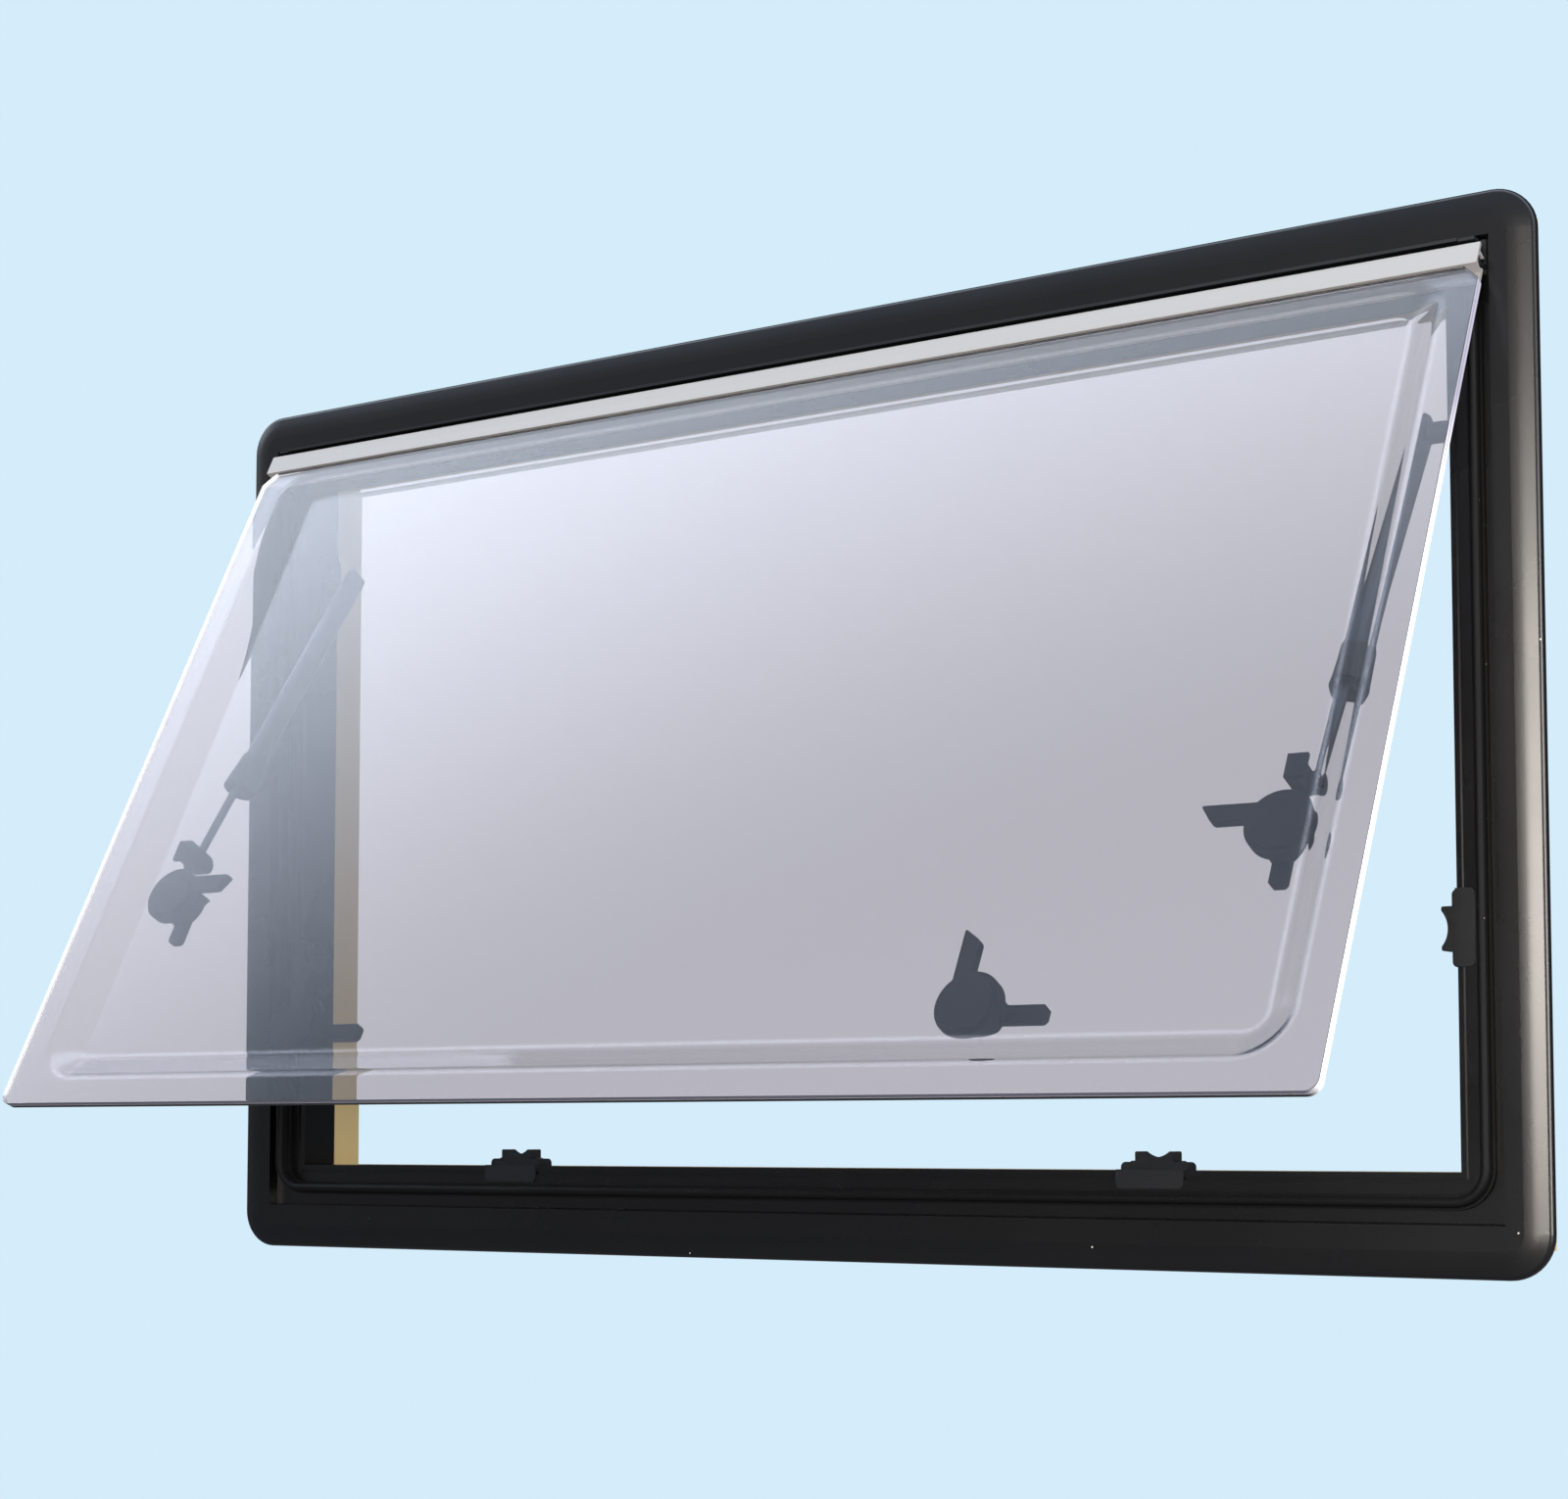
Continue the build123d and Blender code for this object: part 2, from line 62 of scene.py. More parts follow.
# camera fitted to the edges of the frame and the sash in the photo, in metres, degrees and millimetres of lens
cameraSet = dict(place=(0.96800, -1.46755, 0.06731), turn=33.8581, tilt=3.96, lens=66.027, shift=0.12,
                 sensor=36, clip=(0.05, 200))


def makeCamera():
    data = bpy.data.cameras.new("photoCamera")
    data.sensor_width = cameraSet["sensor"]
    data.lens = cameraSet["lens"]
    data.shift_y = cameraSet["shift"]
    data.clip_start, data.clip_end = cameraSet["clip"]
    cam = bpy.data.objects.new("photoCamera", data)
    cam.location = cameraSet["place"]
    cam.rotation_euler = Euler((math.radians(90 + cameraSet["tilt"]), 0, math.radians(cameraSet["turn"])))
    scene.collection.objects.link(cam)
    scene.camera = cam


makeCamera()
print("camera set")


# shader helpers
def newMaterial(name):
    mat = bpy.data.materials.new(name)
    mat.use_nodes = True
    tree = mat.node_tree
    return mat, tree, tree.nodes["Principled BSDF"]


def addNode(tree, kind, **values):
    node = tree.nodes.new(kind)
    for key, value in values.items():
        setattr(node, key, value)
    return node


def rangeNode(tree, start, end, **values):
    node = addNode(tree, "ShaderNodeMapRange", **values)
    node.inputs["From Min"].default_value, node.inputs["From Max"].default_value = start
    node.inputs["To Min"].default_value, node.inputs["To Max"].default_value = end
    return node


def fillRamp(ramp, bands):
    ramp.elements[0].position, ramp.elements[0].color = bands[0]
    ramp.elements[1].position, ramp.elements[1].color = bands[-1]
    for position, colour in bands[1:-1]:
        ramp.elements.new(position).color = colour


def dress(names, mat):
    for name in names:
        mesh = nodes[name].data
        mesh.materials.clear()
        mesh.materials.append(mat)


grainSet = dict(fineDetail=2, patchScale=9, patchDetail=4)


# fine moulded grain and dust: noise on object coordinates gives a surface height and a roughness change,
# and a speck lies round the middle of a few of the cells
def makeGrainGroup():
    group = bpy.data.node_groups.new("mouldedGrain", "ShaderNodeTree")
    face = group.interface
    for name, value in (("Grain Scale", 900.0), ("Dust Scale", 90.0), ("Dust Size", 0.04), ("Dust Limit", 0.6)):
        socket = face.new_socket(name, in_out="INPUT", socket_type="NodeSocketFloat")
        socket.default_value = value
    for name in ("Height", "Unevenness", "Dust"):
        face.new_socket(name, in_out="OUTPUT", socket_type="NodeSocketFloat")
    start = addNode(group, "NodeGroupInput")
    end = addNode(group, "NodeGroupOutput")
    place = addNode(group, "ShaderNodeTexCoord")
    grain = addNode(group, "ShaderNodeTexNoise")
    grain.inputs["Detail"].default_value = grainSet["fineDetail"]
    patch = addNode(group, "ShaderNodeTexNoise")
    patch.inputs["Scale"].default_value = grainSet["patchScale"]
    patch.inputs["Detail"].default_value = grainSet["patchDetail"]
    cells = addNode(group, "ShaderNodeTexVoronoi")
    near = addNode(group, "ShaderNodeMath", operation="LESS_THAN")
    split = addNode(group, "ShaderNodeSeparateColor")
    limit = addNode(group, "ShaderNodeMath", operation="GREATER_THAN")
    both = addNode(group, "ShaderNodeMath", operation="MULTIPLY")
    link = group.links.new
    for tex in (grain, patch, cells):
        link(place.outputs["Object"], tex.inputs["Vector"])
    link(start.outputs["Grain Scale"], grain.inputs["Scale"])
    link(start.outputs["Dust Scale"], cells.inputs["Scale"])
    link(cells.outputs["Distance"], near.inputs[0])
    link(start.outputs["Dust Size"], near.inputs[1])
    link(cells.outputs["Color"], split.inputs["Color"])
    link(split.outputs["Red"], limit.inputs[0])
    link(start.outputs["Dust Limit"], limit.inputs[1])
    link(near.outputs["Value"], both.inputs[0])
    link(limit.outputs["Value"], both.inputs[1])
    link(grain.outputs["Fac"], end.inputs["Height"])
    link(patch.outputs["Fac"], end.inputs["Unevenness"])
    link(both.outputs["Value"], end.inputs["Dust"])
    return group


grainGroup = makeGrainGroup()
plasticSet = dict(drift=(0.3, 0.7), bumpDepth=0.0002)


# base colour with dust on it, roughness that drifts between two values, and a slight bump
def plasticMaterial(name, look):
    mat, tree, bsdf = newMaterial(name)
    link = tree.links.new
    grain = addNode(tree, "ShaderNodeGroup", node_tree=grainGroup)
    grain.inputs["Grain Scale"].default_value = look["grain"]
    grain.inputs["Dust Scale"].default_value = look["dustScale"]
    grain.inputs["Dust Limit"].default_value = look["dustLimit"]
    mix = addNode(tree, "ShaderNodeMix", data_type="RGBA")
    mix.inputs["A"].default_value = look["colour"]
    mix.inputs["B"].default_value = look["dust"]
    rough = rangeNode(tree, plasticSet["drift"], look["rough"])
    bump = addNode(tree, "ShaderNodeBump")
    bump.inputs["Strength"].default_value = look["bump"]
    bump.inputs["Distance"].default_value = plasticSet["bumpDepth"]
    link(grain.outputs["Dust"], mix.inputs["Factor"])
    link(mix.outputs["Result"], bsdf.inputs["Base Color"])
    link(grain.outputs["Unevenness"], rough.inputs["Value"])
    link(rough.outputs["Result"], bsdf.inputs["Roughness"])
    link(grain.outputs["Height"], bump.inputs["Height"])
    link(bump.outputs["Normal"], bsdf.inputs["Normal"])
    bsdf.inputs["Specular IOR Level"].default_value = look["gloss"]
    return mat


satinBlack = dict(colour=seen(8, 8, 9), dust=seen(190, 186, 176), rough=(0.25, 0.3), gloss=0.5,
                  grain=1400.0, dustScale=60.0, dustLimit=0.85, bump=0.12)
rubberBlack = dict(colour=seen(11, 11, 12), dust=seen(150, 146, 138), rough=(0.55, 0.65), gloss=0.15,
                   grain=900.0, dustScale=110.0, dustLimit=0.6, bump=0.1)
fittingBlack = dict(colour=seen(17, 20, 24), dust=seen(120, 120, 120), rough=(0.45, 0.55), gloss=0.4,
                    grain=1100.0, dustScale=90.0, dustLimit=0.9, bump=0.2)
roomBeige = dict(colour=seen(193, 174, 126), dust=seen(205, 194, 160), rough=(0.5, 0.6), gloss=0.4,
                 grain=1200.0, dustScale=90.0, dustLimit=0.9, bump=0.25)

dress(["outer_frame"], plasticMaterial("satinBlackFrame", satinBlack))
dress(["pane_seal"], plasticMaterial("blackRubber", rubberBlack))
dress(["inner_frame"], plasticMaterial("beigeRoomFrame", roomBeige))
fittingMaterial = plasticMaterial("blackFittings", fittingBlack)
dress([n for n in nodes if n.startswith(("latch_", "catch_", "hinge_end", "stay_bracket", "stay_foot", "stay_knob"))],
      fittingMaterial)

# drawn metal: fine streaks along the length change the roughness
metalLook = dict(rail=dict(colour=seen(160, 157, 154), metallic=0.35, rough=0.42),
                 stay=dict(colour=seen(70, 76, 84), metallic=0.6, rough=0.35),
                 stretch=(3, 900, 900), drift=0.08)


def metalMaterial(name, look):
    mat, tree, bsdf = newMaterial(name)
    link = tree.links.new
    place = addNode(tree, "ShaderNodeTexCoord")
    stretch = addNode(tree, "ShaderNodeMapping")
    stretch.inputs["Scale"].default_value = metalLook["stretch"]
    streak = addNode(tree, "ShaderNodeTexNoise")
    streak.inputs["Scale"].default_value = 1
    drift = metalLook["drift"]
    level = rangeNode(tree, (0, 1), (look["rough"] - drift, look["rough"] + drift))
    link(place.outputs["Object"], stretch.inputs["Vector"])
    link(stretch.outputs["Vector"], streak.inputs["Vector"])
    link(streak.outputs["Fac"], level.inputs["Value"])
    link(level.outputs["Result"], bsdf.inputs["Roughness"])
    bsdf.inputs["Base Color"].default_value = look["colour"]
    bsdf.inputs["Metallic"].default_value = look["metallic"]
    return mat


dress(["sash_rail"], metalMaterial("paleRail", metalLook["rail"]))
dress(["hinge_rail"], fittingMaterial)
dress([n for n in nodes if n.startswith(("stay_tube", "stay_rod"))],
      metalMaterial("darkStayMetal", metalLook["stay"]))
print("frame and fittings dressed")

# clear tinted sheet, grey lavender through and glossy on both faces
acrylicLook = dict(tint=seen(235, 233, 236), rough=0.0, ior=1.49, clear=1.0)


def acrylicMaterial():
    mat, tree, bsdf = newMaterial("tintedAcrylic")
    bsdf.inputs["Base Color"].default_value = acrylicLook["tint"]
    bsdf.inputs["Roughness"].default_value = acrylicLook["rough"]
    bsdf.inputs["IOR"].default_value = acrylicLook["ior"]
    bsdf.inputs["Transmission Weight"].default_value = acrylicLook["clear"]
    return mat


acrylic = acrylicMaterial()
dress(["outer_pane", "inner_pane"], acrylic)


# pieces
def makePiece(name, points, faces, mat, body, smooth=True):
    mesh = bpy.data.meshes.new(name)
    mesh.from_pydata(points.reshape(-1, 3), [], faces)
    mesh.materials.append(mat)
    mesh.polygons.foreach_set("use_smooth", np.full(len(mesh.polygons), smooth))
    mesh.update()
    piece = bpy.data.objects.new(name, mesh)
    scene.collection.objects.link(piece)
    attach(piece, body)
    return piece


# a value for each point of the piece, for its material to read
def paintPoints(piece, name, values):
    layer = piece.data.attributes.new(name, "FLOAT", "POINT")
    layer.data.foreach_set("value", values.ravel().astype(np.float32))


# quads of an r by c grid of points, numbered from start
def gridQuads(r, c, start=0, flip=False):
    i = np.arange(r - 1)[:, None] * c + np.arange(c - 1)[None, :] + start
    quads = np.stack([i, i + 1, i + c + 1, i + c], -1).reshape(-1, 4)
    return quads[:, ::-1] if flip else quads


formedSheet = dict(half=0.4403, top=0.0046, low=0.5012, rimSide=0.0195, rimTop=0.003, run=0.019, runTop=0.012,
                   corner=0.030, depth=0.0115, bend=0.003, sheet=0.0028, front=-0.00025, step=0.0009,
                   clip=0.009, round=0.007, blend=0.03, zoneSide=0.058, zoneTop=0.045, middle=24, probe=1e-5)


# formed inner sheet: the distance s inside a rounded rectangle drives a height with a straight slope and
# round bends, h = depth * ramp(s / run); the second face lies one sheet thickness along the surface normal
def formedHeight(x, d):
    p = formedSheet
    rimHalf = p["half"] - p["rimSide"]
    rimTop = p["top"] + p["rimTop"]
    rimLow = p["low"] - p["rimSide"]
    sx = rimHalf - np.abs(x)
    sd = np.minimum((d - rimTop) * p["run"] / p["runTop"], rimLow - d)
    r = p["corner"]
    inside = np.minimum(np.minimum(sx, sd), r)
    arc = r - np.hypot(np.clip(r - sx, 0, None), np.clip(r - sd, 0, None))
    s = np.where((sx < r) & (sd < r), arc, inside)
    b = p["bend"]
    low = np.clip(s + b, 0, 2 * b) ** 2 / (4 * b) + np.clip(s - b, 0, None)
    high = np.clip(s - p["run"] + b, 0, 2 * b) ** 2 / (4 * b) + np.clip(s - p["run"] - b, 0, None)
    return p["depth"] * (low - high) / p["run"]


# grid lines from low to high, close together in the zones at both ends, where the sheet bends
def sheetLines(low, high, zoneLow, zoneHigh):
    step = formedSheet["step"]
    a = np.arange(low, low + zoneLow, step)
    b = np.linspace(low + zoneLow, high - zoneHigh, formedSheet["middle"])
    c = high - np.arange(0, zoneHigh, step)[::-1]
    return np.concatenate([a, b, c[1:]])


def makeFormedSheet():
    p = formedSheet
    xs = sheetLines(-p["half"], p["half"], p["zoneSide"], p["zoneSide"])
    ds = sheetLines(p["top"], p["low"], p["zoneTop"], p["zoneSide"])
    x, d = np.meshgrid(xs, ds)
    side = p["half"] - np.abs(x)
    clip = np.clip(p["clip"] - side, 0, None)
    bow = p["round"] - np.sqrt(p["round"] ** 2 - np.clip(p["round"] - side, 0, None) ** 2)
    d = d + clip * np.clip((p["top"] + p["blend"] - d) / p["blend"], 0, 1)
    d = d - bow * np.clip((d - p["low"] + p["blend"]) / p["blend"], 0, 1)
    h = formedHeight(x, d)
    e = p["probe"]
    gx = (formedHeight(x + e, d) - formedHeight(x - e, d)) / (2 * e)
    gd = (formedHeight(x, d + e) - formedHeight(x, d - e)) / (2 * e)
    size = np.sqrt(1 + gx**2 + gd**2)
    t = p["sheet"]
    outer = swung(x, p["front"] - h, d)
    inner = swung(x - gx / size * t, p["front"] - h - t / size, d - gd / size * t)
    r, c = x.shape
    n = r * c
    faces = [gridQuads(r, c, 0, True), gridQuads(r, c, n, False)]
    grid = np.arange(n).reshape(r, c)
    ring = np.concatenate([grid[0, :-1], grid[:-1, -1], grid[-1, :0:-1], grid[:0:-1, 0]])
    after = np.roll(ring, -1)
    faces.append(np.stack([ring, after, after + n, ring + n], -1))
    points = np.concatenate([outer.reshape(-1, 3), inner.reshape(-1, 3)])
    piece = makePiece("formedInnerSheet", points, np.concatenate(faces).tolist(), acrylic, "sash")
    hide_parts("inner_pane")


makeFormedSheet()
print("inner sheet formed")

# sawn edge of the two sheets: a thin frosted band on their outline, white at the sides, with painted shade that greys
# it towards the head on the right and darkens it below, and a painted glow, emission that stands in for the light the
# sheets gather; on the left it lies inside the sheets, where it shows through them
# the low colours are painted shade for the bottom run, head is a painted shade tint towards the head, and glow is the
# strength of the painted glow
sawnEdge = dict(half=0.44056, inside=0.4394, top=0.00434, low=0.50146, clip=0.009, round=0.007, front=0.0028,
                back=-0.003, arcPoints=9, runPoints=12, run=(0.03, 0.25), rows=26, leftBand=0.3, nearly=1e-6,
                white=seen(245, 246, 247), line=seen(58, 62, 68), lowFront=seen(104, 104, 120),
                lowJoint=seen(185, 185, 196), lowBack=seen(30, 33, 37), head=seen(150, 147, 162),
                headEnd=(0.09, 0.21), glow=0.8, rough=0.45,
                sideBands=((0.06, "line"), (0.1, "white"), (0.46, "white"), (0.48, "line"), (0.52, "line"),
                           (0.54, "white")),
                lowBands=((0.44, "lowFront"), (0.48, "lowJoint"), (0.54, "lowJoint"), (0.58, "lowBack")))


def edgeMaterial():
    p = sawnEdge
    mat, tree, bsdf = newMaterial("sawnEdge")
    link = tree.links.new
    across = addNode(tree, "ShaderNodeAttribute", attribute_name="across")
    ramp = addNode(tree, "ShaderNodeValToRGB")
    fillRamp(ramp.color_ramp, [(place, p[colour]) for place, colour in p["sideBands"]])
    # painted shade: the bottom run takes these darker low colours in place of the side colours
    lowRamp = addNode(tree, "ShaderNodeValToRGB")
    fillRamp(lowRamp.color_ramp, [(place, p[colour]) for place, colour in p["lowBands"]])
    lower = addNode(tree, "ShaderNodeAttribute", attribute_name="lower")
    shade = addNode(tree, "ShaderNodeAttribute", attribute_name="paintedHeadShade")
    # painted shade: near the head on the right the colour is multiplied towards the grey head tint
    tone = addNode(tree, "ShaderNodeMix", data_type="RGBA", blend_type="MULTIPLY")
    tone.inputs["B"].default_value = p["head"]
    mix = addNode(tree, "ShaderNodeMix", data_type="RGBA")
    # painted glow: emission in the edge's own colour, none on the bottom run, stands in for light the sheets gather
    paintedGlow = addNode(tree, "ShaderNodeMix", data_type="RGBA")
    paintedGlow.inputs["B"].default_value = (0, 0, 0, 1)
    link(across.outputs["Fac"], ramp.inputs["Fac"])
    link(across.outputs["Fac"], lowRamp.inputs["Fac"])
    link(lowRamp.outputs["Color"], mix.inputs["B"])
    link(lower.outputs["Fac"], mix.inputs["Factor"])
    link(shade.outputs["Fac"], tone.inputs["Factor"])
    link(ramp.outputs["Color"], tone.inputs["A"])
    link(tone.outputs["Result"], mix.inputs["A"])
    link(mix.outputs["Result"], bsdf.inputs["Base Color"])
    link(lower.outputs["Fac"], paintedGlow.inputs["Factor"])
    link(tone.outputs["Result"], paintedGlow.inputs["A"])
    link(paintedGlow.outputs["Result"], bsdf.inputs["Emission Color"])
    bsdf.inputs["Emission Strength"].default_value = p["glow"]
    bsdf.inputs["Roughness"].default_value = p["rough"]
    return mat


# the outline runs down the right side, along the bottom and up the left side, (x, d) with round lower corners;
# its points carry the place across the edge, the share of the bottom and the painted shade towards the head
def makeSawnEdge():
    p = sawnEdge
    t = np.linspace(0, math.pi / 2, p["arcPoints"])
    arc = np.stack([p["half"] - p["round"] + p["round"] * np.cos(t),
                    p["low"] - p["round"] + p["round"] * np.sin(t)], -1)
    head = np.array([[p["half"] - p["clip"], p["top"]], [p["half"], p["top"] + p["clip"]]])
    run = np.stack([np.full(p["runPoints"], p["half"]), np.linspace(*p["run"], p["runPoints"])], -1)
    right = np.concatenate([head, run, arc])
    line = np.concatenate([right, right[::-1] * (-p["inside"] / p["half"], 1)])
    rows = np.linspace(0, 1, p["rows"])
    o = p["front"] + (p["back"] - p["front"]) * rows
    x = np.repeat(line[:, :1], len(rows), 1)
    d = np.repeat(line[:, 1:], len(rows), 1)
    points = swung(x, np.broadcast_to(o, x.shape), d)
    quads = gridQuads(len(line), len(rows))
    piece = makePiece("sawnEdge", points, quads.tolist(), edgeMaterial(), "sash", False)
    leftSide = (x < 0) & (d < p["low"] - p["round"] + p["nearly"])
    paintPoints(piece, "across", np.where(leftSide, p["leftBand"], rows))
    # share of the bottom run, which gets the painted shade colours and no painted glow
    paintPoints(piece, "lower", np.clip((d - p["low"] + p["round"]) / p["round"], 0, 1))
    start, end = p["headEnd"]
    # painted shade: 1 on the right side at the head, fading to 0 lower down
    paintPoints(piece, "paintedHeadShade", np.clip((end - d) / (end - start), 0, 1) * (x > 0))


makeSawnEdge()
print("edges sawn")

# screw heads: each ring (a, b) has the radius a * R and lies b * H along the axis; the place across the head, in
# shares of R, draws the cross recess as painted shade, a dark cross on the smooth dome in place of a cut recess
headRings = np.array([(1.0, 0.0), (1.0, 0.35), (0.93, 0.62), (0.72, 0.86), (0.42, 0.97), (0.12, 1.0)])
headLook = dict(zinc=dict(colour=seen(150, 152, 150), metallic=0.8), dark=dict(colour=seen(30, 33, 37), metallic=0.3),
                hollow=seen(12, 12, 13), recess=0.15, reach=0.62, rough=0.4, sides=20, upright=0.9)


def headMaterial(name, look):
    mat, tree, bsdf = newMaterial(name)
    link = tree.links.new
    place = addNode(tree, "ShaderNodeAttribute", attribute_name="headPlace")
    split = addNode(tree, "ShaderNodeSeparateXYZ")
    link(place.outputs["Vector"], split.inputs["Vector"])
    arms = []
    for wide, long in (("X", "Y"), ("Y", "X")):
        parts = []
        for axis, limit in ((wide, headLook["recess"]), (long, headLook["reach"])):
            size = addNode(tree, "ShaderNodeMath", operation="ABSOLUTE")
            inside = addNode(tree, "ShaderNodeMath", operation="LESS_THAN")
            inside.inputs[1].default_value = limit
            link(split.outputs[axis], size.inputs[0])
            link(size.outputs["Value"], inside.inputs[0])
            parts.append(inside)
        arm = addNode(tree, "ShaderNodeMath", operation="MULTIPLY")
        link(parts[0].outputs["Value"], arm.inputs[0])
        link(parts[1].outputs["Value"], arm.inputs[1])
        arms.append(arm)
    cross = addNode(tree, "ShaderNodeMath", operation="MAXIMUM")
    link(arms[0].outputs["Value"], cross.inputs[0])
    link(arms[1].outputs["Value"], cross.inputs[1])
    # painted shade: the cross takes the dark recess colour
    mix = addNode(tree, "ShaderNodeMix", data_type="RGBA")
    mix.inputs["A"].default_value = look["colour"]
    mix.inputs["B"].default_value = headLook["hollow"]
    link(cross.outputs["Value"], mix.inputs["Factor"])
    link(mix.outputs["Result"], bsdf.inputs["Base Color"])
    bsdf.inputs["Metallic"].default_value = look["metallic"]
    bsdf.inputs["Roughness"].default_value = headLook["rough"]
    return mat


def makeHeads(name, spots, axis, screw, body, mat):
    axis = np.array(axis) / np.linalg.norm(axis)
    side = np.cross(axis, (0, 0, 1) if abs(axis[2]) < headLook["upright"] else (1, 0, 0))
    side = side / np.linalg.norm(side)
    other = np.cross(axis, side)
    a = np.arange(headLook["sides"]) * (2 * math.pi / headLook["sides"])
    ring = np.cos(a)[:, None] * side + np.sin(a)[:, None] * other
    wide, tall = headRings[:, 0, None, None], headRings[:, 1, None, None]
    shape = wide * screw["radius"] * ring + tall * screw["height"] * axis
    points = (np.array(spots)[:, None, None, :] + shape).reshape(-1, 3)
    flat = np.stack([headRings[:, :1] * np.cos(a), headRings[:, :1] * np.sin(a), 0 * headRings[:, :1] * a], -1)
    r, c = len(headRings), len(a)
    i = np.arange(r - 1)[:, None] * c + np.arange(c)
    j = np.arange(r - 1)[:, None] * c + (np.arange(c) + 1) % c
    quads = np.stack([i, j, j + c, i + c], -1).reshape(-1, 4)
    faces = []
    for k in range(len(spots)):
        faces += (quads + k * r * c).tolist()
        faces.append((np.arange(c) + (r - 1) * c + k * r * c).tolist())
    piece = makePiece(name, points, faces, mat, body)
    place = piece.data.attributes.new("headPlace", "FLOAT_VECTOR", "POINT")
    place.data.foreach_set("vector", np.tile(flat.reshape(-1), len(spots)).astype(np.float32))


zincHead = headMaterial("zincScrews", headLook["zinc"])
darkHead = headMaterial("darkScrews", headLook["dark"])

# screws that clamp the wall between the two frames, seen from the room
clampScrew = dict(y=0.029, rowX=(-0.4, -0.2, 0, 0.2, 0.4), rowZ=(0.0165, 0.5535), sideX=(-0.4465, 0.4465),
                  sideZ=(0.12, 0.283, 0.446), radius=0.0035, height=0.002)
clampSpots = [(x, clampScrew["y"], z) for x in clampScrew["rowX"] for z in clampScrew["rowZ"]]
clampSpots += [(x, clampScrew["y"], z) for x in clampScrew["sideX"] for z in clampScrew["sideZ"]]
makeHeads("clampScrews", clampSpots, (0, 1, 0), clampScrew, "frame", zincHead)

# one in the middle of each latch lever, (x, d) as in swung
latchScrew = dict(out=-0.0361, radius=0.0038, height=0.0014)
latchHubs = dict(latch_right=(0.384, 0.341), latch_left=(-0.384, 0.341), latch_bottom_right=(0.232, 0.44),
                 latch_bottom_left=(-0.232, 0.44))
inward = (0, math.cos(hinge["angle"]), -math.sin(hinge["angle"]))
for body, (x, d) in latchHubs.items():
    hub = [swung(x, latchScrew["out"], d)]
    makeHeads(body + "Screw", hub, inward, latchScrew, body, darkHead)

# two in each stay bracket and each catch, apart to both sides of its middle
bracketScrew = dict(x=0.412, y=0.02, z=0.45, apart=(-0.0145, 0.0145), radius=0.0032, height=0.0016)
catchScrew = dict(sideX=0.41, sideZ=0.1785, sillX=0.232, sillZ=0.053, y=0.0111, apart=(-0.015, 0.015),
                  radius=0.0024, height=0.0007)
for hand, word in ((1, "Right"), (-1, "Left")):
    b, c = bracketScrew, catchScrew
    bracket = [(hand * b["x"], b["y"], b["z"] + z) for z in b["apart"]]
    makeHeads("bracketScrews" + word, bracket, (-hand, 0, 0), b, "frame", darkHead)
    catch = [(hand * c["sideX"], c["y"], c["sideZ"] + z) for z in c["apart"]]
    makeHeads("sideCatchScrews" + word, catch, (-hand, 0, 0), c, "frame", darkHead)
    sill = [(hand * c["sillX"] + x, c["y"], c["sillZ"]) for x in c["apart"]]
    makeHeads("sillCatchScrews" + word, sill, (0, 0, 1), c, "frame", darkHead)
print("heads set")


# stage and light
stageLook = dict(backdrop=seen(213, 236, 250), paneLow=seen(221, 221, 224), paneHigh=seen(212, 211, 212),
                 floor=seen(132, 147, 156), floorThrough=seen(140, 139, 142), bounce=(0.12, 0.12, 0.125, 1),
                 floorDrop=-0.65, floorHalf=40, floorRough=0.9, shadowEnd=(0.9, 3.2))


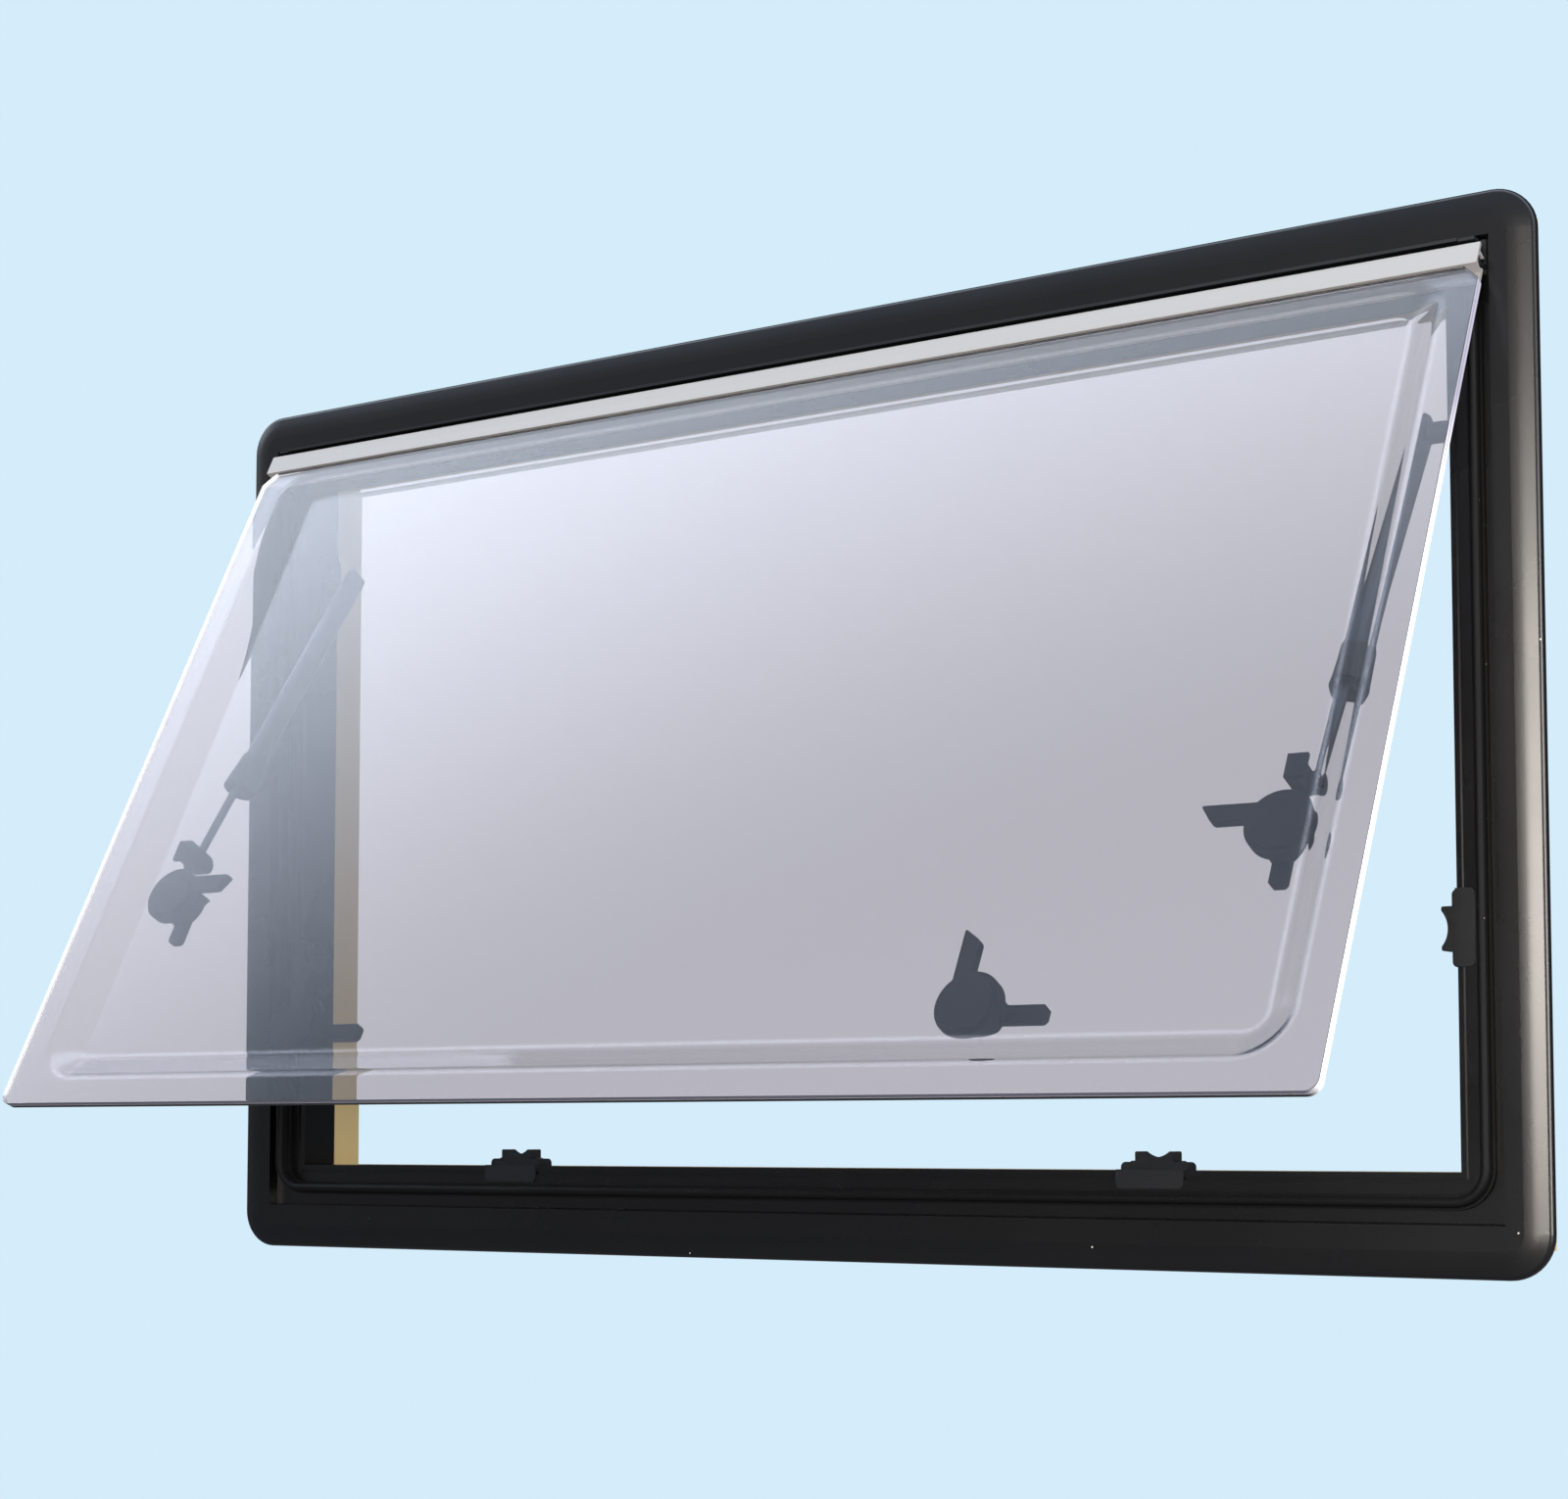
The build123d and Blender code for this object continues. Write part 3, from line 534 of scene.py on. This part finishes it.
# pale floor: near the object it takes light and shadow, and farther off the camera sees the plain backdrop colour
# and the sheets show the grey one; it is pale to the eye and through the sheets and throws little light back
def makeFloor():
    mesh = bpy.data.meshes.new("paleFloor")
    s, z = stageLook["floorHalf"], stageLook["floorDrop"]
    mesh.from_pydata([(-s, -s, z), (s, -s, z), (s, s, z), (-s, s, z)], [], [(0, 1, 2, 3)])
    mat, tree, bsdf = newMaterial("paleFloor")
    link = tree.links.new
    bsdf.inputs["Roughness"].default_value = stageLook["floorRough"]
    tone = addNode(tree, "ShaderNodeMix", data_type="RGBA")
    tone.inputs["A"].default_value = stageLook["bounce"]
    tone.inputs["B"].default_value = stageLook["floorThrough"]
    eye = addNode(tree, "ShaderNodeMix", data_type="RGBA")
    eye.inputs["B"].default_value = stageLook["floor"]
    place = addNode(tree, "ShaderNodeTexCoord")
    reach = addNode(tree, "ShaderNodeVectorMath", operation="LENGTH")
    fade = rangeNode(tree, stageLook["shadowEnd"], (0, 1), interpolation_type="SMOOTHSTEP")
    path = addNode(tree, "ShaderNodeLightPath")
    looks = addNode(tree, "ShaderNodeMath", operation="MAXIMUM")
    part = addNode(tree, "ShaderNodeMath", operation="MULTIPLY")
    away = addNode(tree, "ShaderNodeMix", data_type="RGBA")
    away.inputs["A"].default_value = stageLook["paneLow"]
    away.inputs["B"].default_value = stageLook["backdrop"]
    glow = addNode(tree, "ShaderNodeEmission")
    mix = addNode(tree, "ShaderNodeMixShader")
    link(path.outputs["Is Transmission Ray"], tone.inputs["Factor"])
    link(path.outputs["Is Camera Ray"], eye.inputs["Factor"])
    link(tone.outputs["Result"], eye.inputs["A"])
    link(eye.outputs["Result"], bsdf.inputs["Base Color"])
    link(place.outputs["Object"], reach.inputs[0])
    link(reach.outputs["Value"], fade.inputs["Value"])
    link(fade.outputs["Result"], part.inputs[0])
    link(path.outputs["Is Camera Ray"], looks.inputs[0])
    link(path.outputs["Is Transmission Ray"], looks.inputs[1])
    link(looks.outputs["Value"], part.inputs[1])
    link(path.outputs["Is Camera Ray"], away.inputs["Factor"])
    link(away.outputs["Result"], glow.inputs["Color"])
    link(part.outputs["Value"], mix.inputs["Fac"])
    link(bsdf.outputs["BSDF"], mix.inputs[1])
    link(glow.outputs["Emission"], mix.inputs[2])
    link(mix.outputs["Shader"], tree.nodes["Material Output"].inputs["Surface"])
    mesh.materials.append(mat)
    floor = bpy.data.objects.new("paleFloor", mesh)
    scene.collection.objects.link(floor)


makeFloor()

# bands of the sky by height z of the direction, as (place from 0 below to 1 above, colour)
skyLook = dict(bands=((0.4, (0.03, 0.03, 0.034, 1)), (0.49, (0.06, 0.06, 0.066, 1)), (0.56, (0.4, 0.39, 0.4, 1)),
                      (0.66, (0.36, 0.38, 0.44, 1)), (0.78, (0.45, 0.53, 0.66, 1)), (1.0, (0.5, 0.59, 0.74, 1))),
               strip=(0.8, 0.89, 1.0, 1), stripAt=-0.14, stripWidth=(0.04, 0.29), stripLevel=3.3,
               stripRise=(0.15, 0.5), backFade=(0.12, 0.45), backLevel=0.18, paneAt=(0.51, 0.62), noMirror=0.5)


# sky for the light: dark below, pale just above the height of the eye, dim blue higher up, with a long soft strip
# overhead near the plane of the wall, level * smooth(|y - at|) * smooth(z) of the direction, and dim behind it;
# the camera sees a plain pale backdrop, and rays that pass the sheets with no mirroring a greyer one, which dims a
# little upward
def makeWorld():
    p = skyLook
    world = bpy.data.worlds.new("softStudio")
    scene.world = world
    world.use_nodes = True
    tree = world.node_tree
    tree.nodes.clear()
    link = tree.links.new
    place = addNode(tree, "ShaderNodeTexCoord")
    split = addNode(tree, "ShaderNodeSeparateXYZ")
    level = rangeNode(tree, (-1, 1), (0, 1))
    ramp = addNode(tree, "ShaderNodeValToRGB")
    fillRamp(ramp.color_ramp, p["bands"])
    paneRamp = addNode(tree, "ShaderNodeValToRGB")
    fillRamp(paneRamp.color_ramp, list(zip(p["paneAt"], (stageLook["paneLow"], stageLook["paneHigh"]))))
    off = addNode(tree, "ShaderNodeMath", operation="SUBTRACT")
    off.inputs[1].default_value = p["stripAt"]
    far = addNode(tree, "ShaderNodeMath", operation="ABSOLUTE")
    across = rangeNode(tree, p["stripWidth"], (p["stripLevel"], 0), interpolation_type="SMOOTHSTEP")
    rise = rangeNode(tree, p["stripRise"], (0, 1), interpolation_type="SMOOTHSTEP")
    amount = addNode(tree, "ShaderNodeMath", operation="MULTIPLY")
    behind = rangeNode(tree, p["backFade"], (1, p["backLevel"]), interpolation_type="SMOOTHSTEP")
    path = addNode(tree, "ShaderNodeLightPath")
    straight = addNode(tree, "ShaderNodeMath", operation="LESS_THAN")
    straight.inputs[1].default_value = p["noMirror"]
    through = addNode(tree, "ShaderNodeMath", operation="MULTIPLY")
    sky = addNode(tree, "ShaderNodeBackground")
    strip = addNode(tree, "ShaderNodeBackground")
    strip.inputs["Color"].default_value = p["strip"]
    both = addNode(tree, "ShaderNodeAddShader")
    back = addNode(tree, "ShaderNodeBackground")
    back.inputs["Color"].default_value = stageLook["backdrop"]
    pane = addNode(tree, "ShaderNodeBackground")
    mixPane = addNode(tree, "ShaderNodeMixShader")
    mixBack = addNode(tree, "ShaderNodeMixShader")
    out = addNode(tree, "ShaderNodeOutputWorld")
    link(place.outputs["Generated"], split.inputs["Vector"])
    link(split.outputs["Z"], level.inputs["Value"])
    link(level.outputs["Result"], ramp.inputs["Fac"])
    link(level.outputs["Result"], paneRamp.inputs["Fac"])
    link(ramp.outputs["Color"], sky.inputs["Color"])
    link(split.outputs["Y"], behind.inputs["Value"])
    link(behind.outputs["Result"], sky.inputs["Strength"])
    link(paneRamp.outputs["Color"], pane.inputs["Color"])
    link(split.outputs["Y"], off.inputs[0])
    link(off.outputs["Value"], far.inputs[0])
    link(far.outputs["Value"], across.inputs["Value"])
    link(split.outputs["Z"], rise.inputs["Value"])
    link(across.outputs["Result"], amount.inputs[0])
    link(rise.outputs["Result"], amount.inputs[1])
    link(amount.outputs["Value"], strip.inputs["Strength"])
    link(sky.outputs["Background"], both.inputs[0])
    link(strip.outputs["Background"], both.inputs[1])
    link(path.outputs["Glossy Depth"], straight.inputs[0])
    link(path.outputs["Is Transmission Ray"], through.inputs[0])
    link(straight.outputs["Value"], through.inputs[1])
    link(through.outputs["Value"], mixPane.inputs["Fac"])
    link(both.outputs["Shader"], mixPane.inputs[1])
    link(pane.outputs["Background"], mixPane.inputs[2])
    link(path.outputs["Is Camera Ray"], mixBack.inputs["Fac"])
    link(mixPane.outputs["Shader"], mixBack.inputs[1])
    link(back.outputs["Background"], mixBack.inputs[2])
    link(mixBack.outputs["Shader"], out.inputs["Surface"])


makeWorld()

lamps = dict(
    frontPanel=dict(place=(0.95, -2.4, 0.42), aim=(0.4, 0.0, 0.3), size=(1.3, 0.8),
                    power=78, colour=(1.0, 0.93, 0.85)),
    rightPanel=dict(place=(2.4, -0.6, 0.3), aim=(0.2, 0.0, 0.2), size=(1.0, 1.0),
                    power=42, colour=(1.0, 0.96, 0.92)),
    roomPanel=dict(place=(-0.6, 2.2, 1.2), aim=(0.0, 0.0, 0.28), size=(2.0, 1.2),
                   power=45, colour=(1.0, 0.97, 0.93)),
)


def makeLamps():
    for name, look in lamps.items():
        data = bpy.data.lights.new(name, "AREA")
        data.shape = "RECTANGLE"
        data.size, data.size_y = look["size"]
        data.energy = look["power"]
        data.color = look["colour"]
        lamp = bpy.data.objects.new(name, data)
        lamp.location = look["place"]
        aim = Vector(look["aim"]) - Vector(look["place"])
        lamp.rotation_euler = aim.to_track_quat("-Z", "Y").to_euler()
        lamp.visible_camera = False
        lamp.visible_transmission = False
        lamp.visible_glossy = name != "roomPanel"
        scene.collection.objects.link(lamp)


makeLamps()
print("stage lit")
